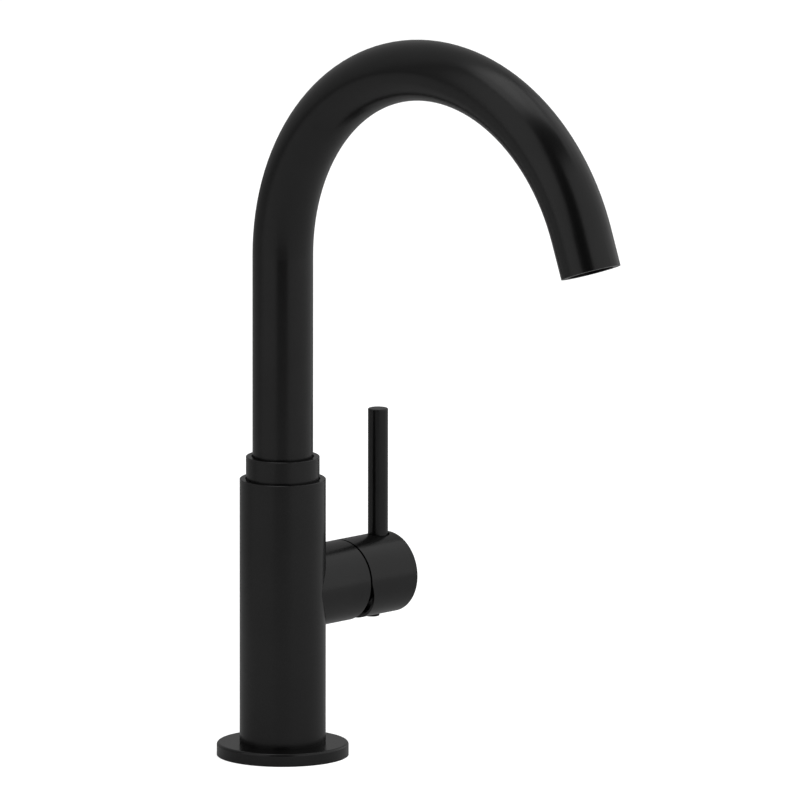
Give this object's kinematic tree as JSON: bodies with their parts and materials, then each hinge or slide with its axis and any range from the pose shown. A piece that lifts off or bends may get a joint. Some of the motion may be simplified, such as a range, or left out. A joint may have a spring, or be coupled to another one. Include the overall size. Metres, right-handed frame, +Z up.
{
  "type": "bar faucet",
  "caption": "Bar faucet: slim upright body on a round flange, swivelling gooseneck spout, side valve pod with a round cap and a thin pin lever that tips and turns.",
  "frame": {"origin": "centre of the base on the counter's surface, on the stud hole's axis", "axes": "+Z up the body and riser, -Y towards the outlet, +X along the valve pod to the lever"},
  "size_m": [0.0875, 0.2075, 0.3],
  "materials": {
    "black_finish": "satin powder coat",
    "brass": "turned",
    "copper": "drawn copper tube",
    "steel": "turned",
    "rubber": "matte",
    "dark_plastic": "matte",
    "white_plastic": "matte",
    "ceramic": "lapped"
  },
  "bodies": {
    "base": {"base_flange": "black_finish", "deck_gasket": "rubber", "body_shell": "black_finish", "pod_shell": "black_finish", "base_plug": "brass", "plug_seal": "rubber", "hot_tube": "copper", "cold_tube": "copper", "valve_block": "brass", "port_seals": "rubber", "cartridge_base": "white_plastic", "cartridge_housing": "dark_plastic", "fixed_disc": "ceramic", "bonnet_nut": "black_finish", "bonnet_dome": "dark_plastic", "spout_socket": "white_plastic", "socket_seal": "rubber", "lower_glide_ring": "white_plastic", "upper_glide_ring": "white_plastic", "spout_collar": "black_finish"},
    "spout": {"spout_tube": "black_finish", "spout_foot": "brass", "spout_o_rings": "rubber", "outlet_sleeve": "black_finish", "aerator_seal": "rubber", "aerator_screen": "steel", "aerator_insert": "dark_plastic", "aerator_housing": "dark_plastic"},
    "temperature_turret": {"turret": "white_plastic", "turret_seal": "rubber", "stem_pin": "steel"},
    "lever": {"lever_stem": "steel", "handle_cap": "black_finish", "lever_rod": "black_finish", "handle_set_screw": "steel", "screw_cover": "rubber"},
    "flow_disc": {"disc_carrier": "dark_plastic", "moving_disc": "ceramic"}
  },
  "joints": [
    {"name": "spout_swivel", "type": "hinge", "parent": "base", "child": "spout", "pos_m": [0, 0, 0.1], "axis": [0, 0, 1], "continuous": true},
    {"name": "temperature_turn", "type": "hinge", "parent": "base", "child": "temperature_turret", "pos_m": [0.03442, 0, 0.0663], "axis": [1, 0, 0], "range_deg": [-45, 45]},
    {"name": "lever_tip", "type": "hinge", "parent": "temperature_turret", "child": "lever", "pos_m": [0.03442, 0, 0.0663], "axis": [0, 1, 0], "range_deg": [0, 20]},
    {"name": "disc_slide", "type": "slide", "parent": "temperature_turret", "child": "flow_disc", "axis": [0, 0, 1], "range_m": [0, 0.0036]}
  ],
  "couplings": [
    {"joint": "disc_slide", "follows": "lever_tip", "m_per_rad": 0.010027}
  ]
}
